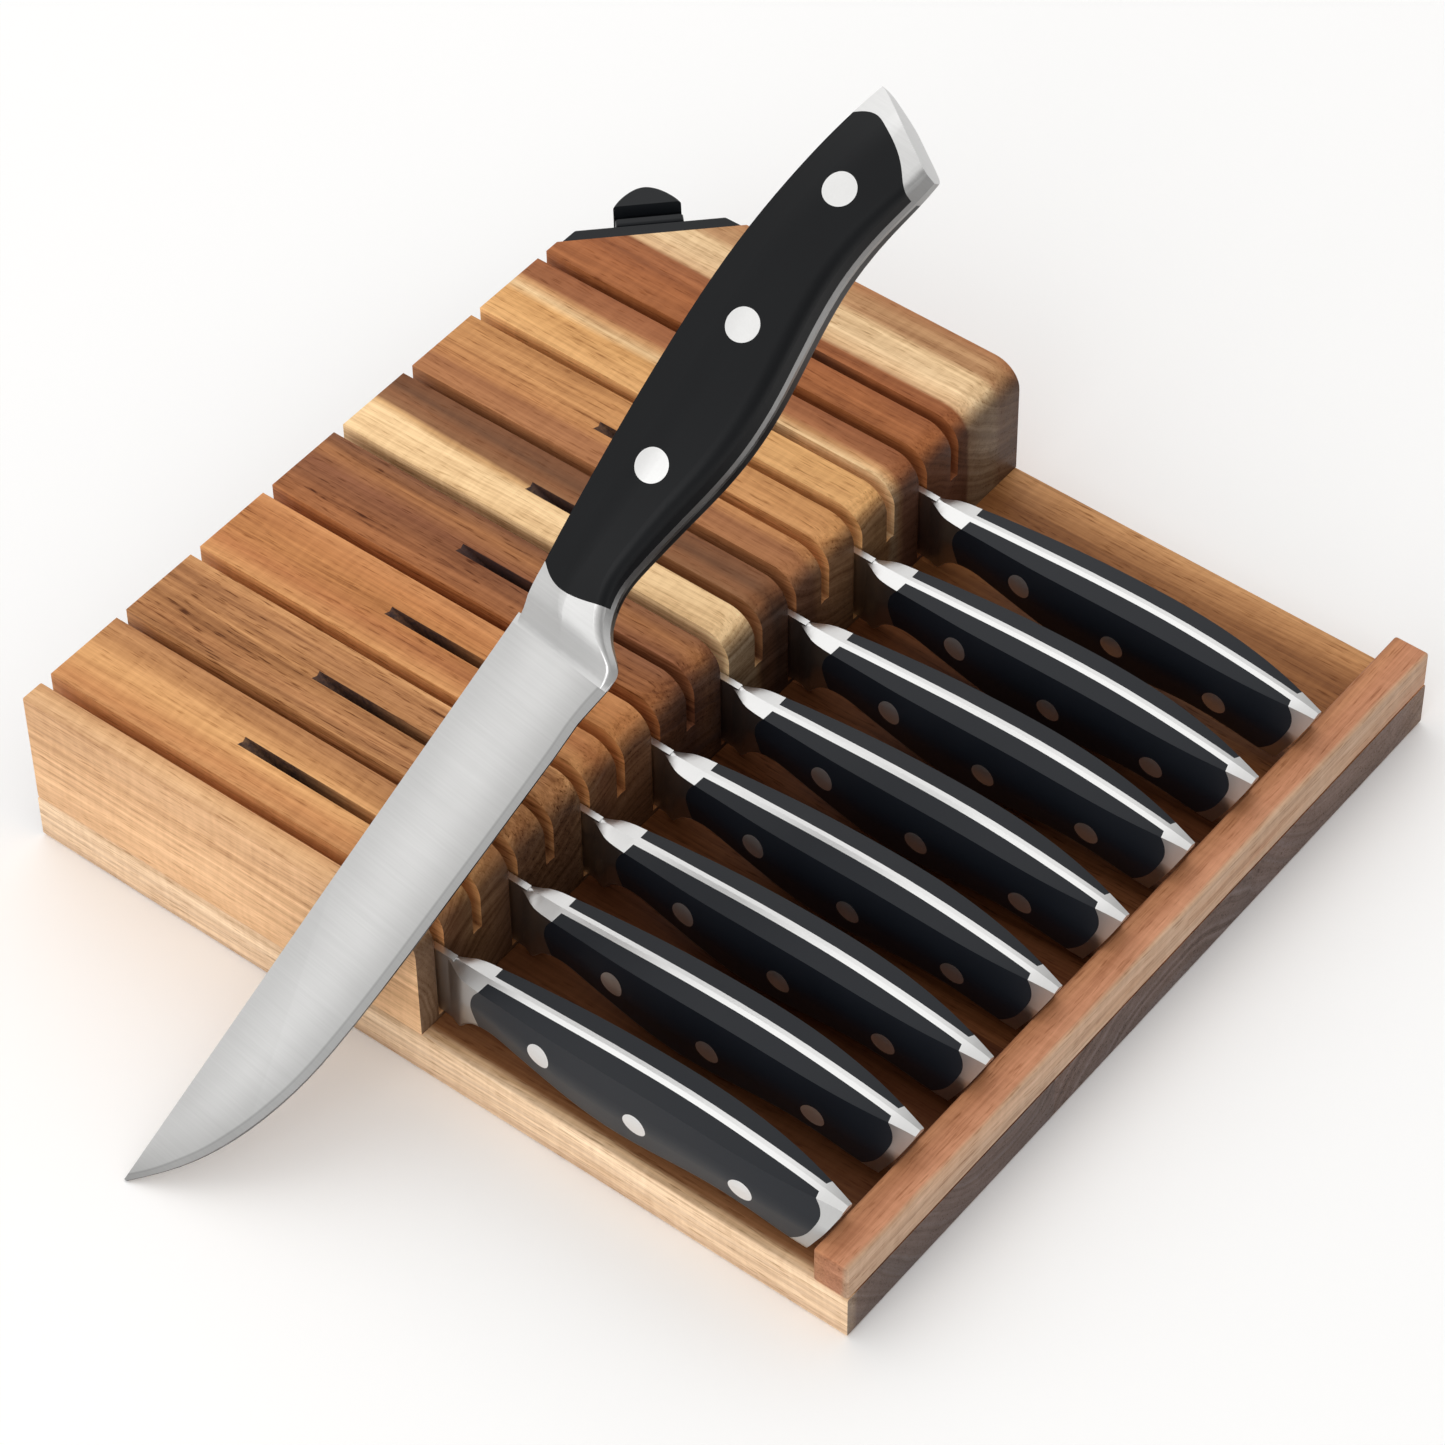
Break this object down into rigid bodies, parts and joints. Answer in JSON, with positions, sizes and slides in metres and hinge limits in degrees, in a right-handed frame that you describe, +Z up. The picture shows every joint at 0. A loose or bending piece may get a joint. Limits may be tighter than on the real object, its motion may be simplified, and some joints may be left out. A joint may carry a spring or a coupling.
{
  "type": "knife block with knives",
  "caption": "Low slotted wooden block on a tray base holding knives flat by their handles, with a corner sharpener and a larger knife leaning on its side.",
  "frame": {"origin": "centre of the base's underside, taken before its corner cut, on the table", "axes": "+Z up; +Y from the handle rim to the slotted block; +X towards the side with the cut corner and sharpener; the leaning knife stands at -X"},
  "size_m": [0.3141, 0.256, 0.192],
  "materials": {
    "pin_steel": "dull pin ends",
    "base_wood": "satin oiled acacia",
    "rim_wood": "satin oiled acacia",
    "sharpener_rod": "fine ground",
    "screw_steel": "satin",
    "sharpener_plastic": "matte black",
    "blade_steel": "satin ground blade, brushed bolster and cap",
    "scale_plastic": "satin charcoal",
    "rivet_steel": "satin",
    "wood_stave_0": "satin oiled acacia",
    "wood_stave_1": "satin oiled acacia",
    "wood_stave_2": "satin oiled acacia",
    "wood_stave_3": "satin oiled acacia",
    "wood_stave_4": "satin oiled acacia",
    "wood_stave_5": "satin oiled acacia",
    "wood_stave_6": "satin oiled acacia",
    "wood_stave_7": "satin oiled acacia",
    "wood_stave_8": "satin oiled acacia"
  },
  "bodies": {
    "block": {"base_plank_0": "base_wood", "base_plank_1": "base_wood", "base_plank_2": "base_wood", "end_rim": "rim_wood", "rim_pins": "pin_steel", "stave_0": "wood_stave_0", "stave_1": "wood_stave_1", "stave_2": "wood_stave_2", "stave_3": "wood_stave_3", "stave_4": "wood_stave_4", "stave_5": "wood_stave_5", "stave_6": "wood_stave_6", "stave_7": "wood_stave_7", "stave_8": "wood_stave_8", "sharpener_plate": "sharpener_plastic", "sharpener_head": "sharpener_plastic", "sharpener_rods": "sharpener_rod", "sharpener_screws": "screw_steel"},
    "knife_1": {"knife_1_blade": "blade_steel", "knife_1_scale_left": "scale_plastic", "knife_1_scale_right": "scale_plastic", "knife_1_rivets": "rivet_steel"},
    "knife_2": {"knife_2_blade": "blade_steel", "knife_2_scale_left": "scale_plastic", "knife_2_scale_right": "scale_plastic", "knife_2_rivets": "rivet_steel"},
    "knife_3": {"knife_3_blade": "blade_steel", "knife_3_scale_left": "scale_plastic", "knife_3_scale_right": "scale_plastic", "knife_3_rivets": "rivet_steel"},
    "knife_4": {"knife_4_blade": "blade_steel", "knife_4_scale_left": "scale_plastic", "knife_4_scale_right": "scale_plastic", "knife_4_rivets": "rivet_steel"},
    "knife_5": {"knife_5_blade": "blade_steel", "knife_5_scale_left": "scale_plastic", "knife_5_scale_right": "scale_plastic", "knife_5_rivets": "rivet_steel"},
    "knife_6": {"knife_6_blade": "blade_steel", "knife_6_scale_left": "scale_plastic", "knife_6_scale_right": "scale_plastic", "knife_6_rivets": "rivet_steel"},
    "knife_7": {"knife_7_blade": "blade_steel", "knife_7_scale_left": "scale_plastic", "knife_7_scale_right": "scale_plastic", "knife_7_rivets": "rivet_steel"},
    "knife_8": {"knife_8_blade": "blade_steel", "knife_8_scale_left": "scale_plastic", "knife_8_scale_right": "scale_plastic", "knife_8_rivets": "rivet_steel"},
    "knife_9": {"knife_9_blade": "blade_steel", "knife_9_scale_left": "scale_plastic", "knife_9_scale_right": "scale_plastic", "knife_9_rivets": "rivet_steel"}
  },
  "joints": [
    {"name": "knife_1_lift", "type": "slide", "parent": "block", "child": "knife_1", "axis": [0, 0, 1], "range_m": [0, 0.015]},
    {"name": "knife_2_lift", "type": "slide", "parent": "block", "child": "knife_2", "axis": [0, 0, 1], "range_m": [0, 0.033]},
    {"name": "knife_3_lift", "type": "slide", "parent": "block", "child": "knife_3", "axis": [0, 0, 1], "range_m": [0, 0.045]},
    {"name": "knife_4_lift", "type": "slide", "parent": "block", "child": "knife_4", "axis": [0, 0, 1], "range_m": [0, 0.05]},
    {"name": "knife_5_lift", "type": "slide", "parent": "block", "child": "knife_5", "axis": [0, 0, 1], "range_m": [0, 0.05]},
    {"name": "knife_6_lift", "type": "slide", "parent": "block", "child": "knife_6", "axis": [0, 0, 1], "range_m": [0, 0.05]},
    {"name": "knife_7_lift", "type": "slide", "parent": "block", "child": "knife_7", "axis": [0, 0, 1], "range_m": [0, 0.05]},
    {"name": "knife_8_lift", "type": "slide", "parent": "block", "child": "knife_8", "axis": [0, 0, 1], "range_m": [0, 0.05]},
    {"name": "knife_9_lift", "type": "slide", "parent": "block", "child": "knife_9", "axis": [0, 0, 1], "range_m": [0, 0.08]}
  ]
}
